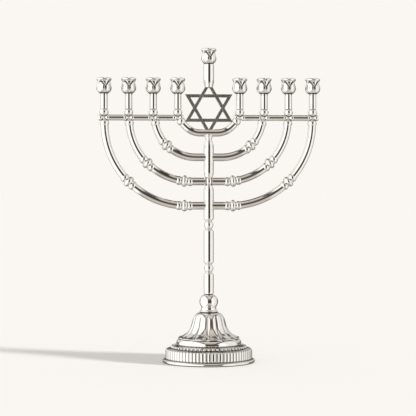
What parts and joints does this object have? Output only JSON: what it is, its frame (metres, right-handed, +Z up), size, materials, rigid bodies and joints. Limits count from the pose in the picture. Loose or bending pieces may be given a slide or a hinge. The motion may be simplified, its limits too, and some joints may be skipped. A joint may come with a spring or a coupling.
{
  "type": "menorah",
  "caption": "Polished silver branched candle holder with curved arms, a crossbar, a central six-pointed star, tulip cups and a domed, fluted foot.",
  "frame": {"origin": "centre of the underside of the foot, on the surface it stands on", "axes": "+Z up along the stem, +X along the crossbar to the viewer's right, -Y towards the front"},
  "size_m": [0.2182, 0.0898, 0.305],
  "materials": {
    "silver": "polished silver plate",
    "steel": "plain zinc-plated steel",
    "washer": "blackened steel",
    "felt": "black felt"
  },
  "bodies": {
    "base": {"foot_rim": "silver", "felt_pad": "felt", "base_plate": "steel", "gadroon_band": "silver", "bead_wire": "silver", "base_dome": "silver", "base_nut": "steel"},
    "washer": {"foot_washer": "washer"},
    "candelabrum": {"tie_rod": "steel", "stem_collar": "silver", "stem_ball": "silver", "stem_tube_1": "silver", "stem_tube_2": "silver", "stem_tube_3": "silver", "stem_tube_4": "silver", "stem_spool_1": "silver", "stem_spool_2": "silver", "stem_spool_3": "silver", "stem_spool_4": "silver", "inner_arm": "silver", "arm_2_left": "silver", "arm_2_right": "silver", "arm_3_left": "silver", "arm_3_right": "silver", "arm_4_left": "silver", "arm_4_right": "silver", "knuckles_high_2": "silver", "knuckles_high_3": "silver", "knuckles_high_4": "silver", "knuckles_low_3": "silver", "knuckles_low_4": "silver", "candle_stems_1": "silver", "candle_stems_2": "silver", "candle_stems_3": "silver", "candle_stems_4": "silver", "fitting_1_left": "silver", "fitting_1_right": "silver", "fitting_2_left": "silver", "fitting_2_right": "silver", "fitting_3_left": "silver", "fitting_3_right": "silver", "fitting_4_left": "silver", "fitting_4_right": "silver", "bar_left": "silver", "bar_right": "silver", "shamash_tube": "silver", "cup_1_left": "silver", "cup_1_right": "silver", "cup_2_left": "silver", "cup_2_right": "silver", "cup_3_left": "silver", "cup_3_right": "silver", "cup_4_left": "silver", "cup_4_right": "silver", "cup_shamash": "silver", "star": "silver"}
  },
  "joints": [
    {"name": "stem_rise", "type": "slide", "parent": "base", "child": "washer", "axis": [0, 0, 1], "range_m": [0, 0.00726]},
    {"name": "stem_unscrew", "type": "hinge", "parent": "washer", "child": "candelabrum", "pos_m": [0, 0, 0.0485], "axis": [0, 0, 1], "range_deg": [0, 3267]}
  ],
  "couplings": [
    {"joint": "stem_rise", "follows": "stem_unscrew", "m_per_rad": 0.00012732}
  ]
}
